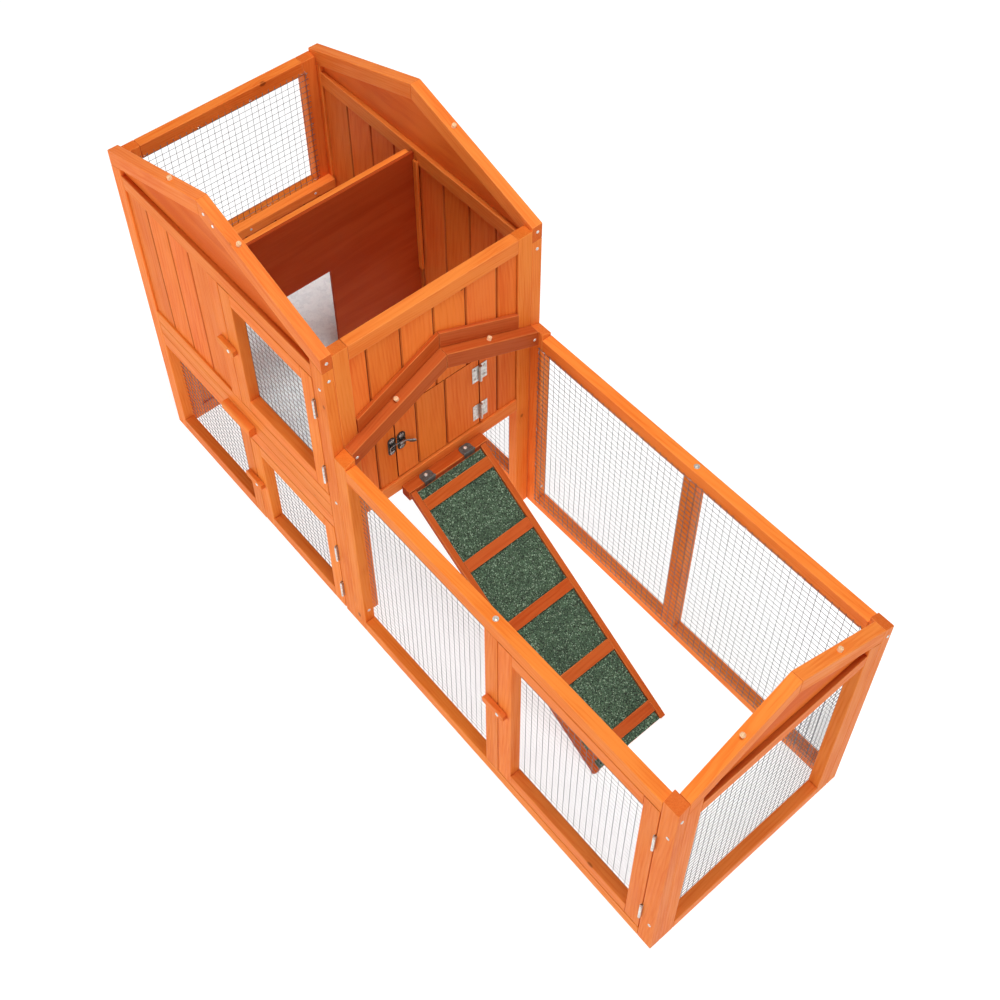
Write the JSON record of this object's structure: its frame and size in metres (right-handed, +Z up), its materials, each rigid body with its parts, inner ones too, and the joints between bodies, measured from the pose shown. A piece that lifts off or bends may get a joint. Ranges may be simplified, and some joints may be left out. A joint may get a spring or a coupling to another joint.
{
  "type": "rabbit hutch",
  "caption": "Two-storey wooden rabbit hutch with a wire run beside it, wire doors, a pull-out tray, a ramp and a hatch; roofs lifted off.",
  "frame": {"origin": "middle of the footprint, on the ground", "axes": "+X from the house towards the end of the run, +Y from the door side to the back, +Z up"},
  "size_m": [1.318, 0.434, 0.817],
  "materials": {
    "stick": "stained softwood sticks, satin varnish, grain along each stick",
    "board": "stained tongue-and-groove boards, satin varnish",
    "plywood": "stained thin plywood, satin",
    "wire": "galvanised half-inch welded wire",
    "galvanised": "galvanised sheet with a faint spangle",
    "zinc": "bright zinc-plated hinges",
    "felt": "green mineral felt with pale grit",
    "black_metal": "gloss black latch",
    "grey_metal": "dark grey strap hinges"
  },
  "bodies": {
    "hutch": {"house_front_frame": "stick", "house_front_rafters": "stick", "house_left_frame": "stick", "house_right_frame": "stick", "house_right_batten": "stick", "house_back_frame": "stick", "house_back_rafters": "stick", "divider_guide_front": "stick", "divider_guide_back": "stick", "tray_runner_left": "stick", "tray_runner_right": "stick", "run_front_frame": "stick", "run_back_frame": "stick", "run_end_frame": "stick", "run_end_rafters": "stick", "run_header_rafters": "stick", "ramp_ledge": "stick", "house_front_boards": "board", "house_left_boards": "board", "house_right_boards": "board", "house_back_boards": "board", "house_front_gable_panel": "plywood", "house_back_gable_panel": "plywood", "run_end_gable_panel": "plywood", "house_front_lower_wire": "wire", "house_left_wire": "wire", "house_back_lower_wire": "wire", "run_front_wire": "wire", "run_back_wire": "wire", "run_end_wire": "wire", "hook_wall_plate": "black_metal", "ramp_hinge_front": "grey_metal", "ramp_hinge_back": "grey_metal"},
    "upper_door": {"upper_door_frame": "stick", "upper_door_wire": "wire", "upper_door_hinge_top": "zinc", "upper_door_hinge_bottom": "zinc"},
    "lower_door": {"lower_door_frame": "stick", "lower_door_wire": "wire", "lower_door_hinge_top": "zinc", "lower_door_hinge_bottom": "zinc"},
    "run_gate": {"run_door_frame": "stick", "run_door_wire": "wire", "run_door_hinge_top": "zinc", "run_door_hinge_bottom": "zinc"},
    "upper_button": {"upper_door_button": "stick"},
    "lower_button": {"lower_door_button": "stick"},
    "run_button": {"run_door_button": "stick"},
    "pop_hatch": {"pop_door": "board", "hook_door_plate": "black_metal", "pop_door_hinge_top": "zinc", "pop_door_hinge_bottom": "zinc"},
    "hook": {"hook_arm": "black_metal"},
    "drawer": {"tray": "galvanised", "drawer_front": "stick", "drawer_handle": "stick"},
    "divider_sheet": {"divider": "plywood"},
    "ramp": {"ramp_board": "plywood", "ramp_felt": "felt", "ramp_frame": "stick"}
  },
  "joints": [
    {"name": "upper_door_hinge", "type": "hinge", "parent": "hutch", "child": "upper_door", "pos_m": [-0.1053, -0.2063, 0.5], "axis": [0, 0, 1], "range_deg": [0, 110]},
    {"name": "lower_door_hinge", "type": "hinge", "parent": "hutch", "child": "lower_door", "pos_m": [-0.1053, -0.2063, 0.1295], "axis": [0, 0, 1], "range_deg": [0, 110]},
    {"name": "run_door_hinge", "type": "hinge", "parent": "hutch", "child": "run_gate", "pos_m": [0.6307, -0.2063, 0.239], "axis": [0, 0, 1], "range_deg": [0, 110]},
    {"name": "pop_door_hinge", "type": "hinge", "parent": "hutch", "child": "pop_hatch", "pos_m": [-0.0747, 0.09, 0.405], "axis": [0, 0, 1], "range_deg": [0, 100]},
    {"name": "hook_pivot", "type": "hinge", "parent": "pop_hatch", "child": "hook", "pos_m": [-0.0744, -0.0745, 0.414], "axis": [-1, 0, 0], "range_deg": [0, 60]},
    {"name": "upper_button_turn", "type": "hinge", "parent": "upper_door", "child": "upper_button", "pos_m": [-0.346, -0.2078, 0.5], "axis": [0, 1, 0], "range_deg": [0, 90]},
    {"name": "lower_button_turn", "type": "hinge", "parent": "lower_door", "child": "lower_button", "pos_m": [-0.346, -0.2078, 0.128], "axis": [0, 1, 0], "range_deg": [0, 90]},
    {"name": "run_button_turn", "type": "hinge", "parent": "run_gate", "child": "run_button", "pos_m": [0.317, -0.2078, 0.252], "axis": [0, 1, 0], "range_deg": [0, 90]},
    {"name": "ramp_hinge", "type": "hinge", "parent": "hutch", "child": "ramp", "pos_m": [-0.054, -0.001, 0.3028], "axis": [0, -1, 0], "range_deg": [0, 30]},
    {"name": "drawer_slide", "type": "slide", "parent": "hutch", "child": "drawer", "axis": [0, -1, 0], "range_m": [0, 0.34]},
    {"name": "divider_lift", "type": "slide", "parent": "hutch", "child": "divider_sheet", "axis": [0, 0, 1], "range_m": [0, 0.35]}
  ]
}
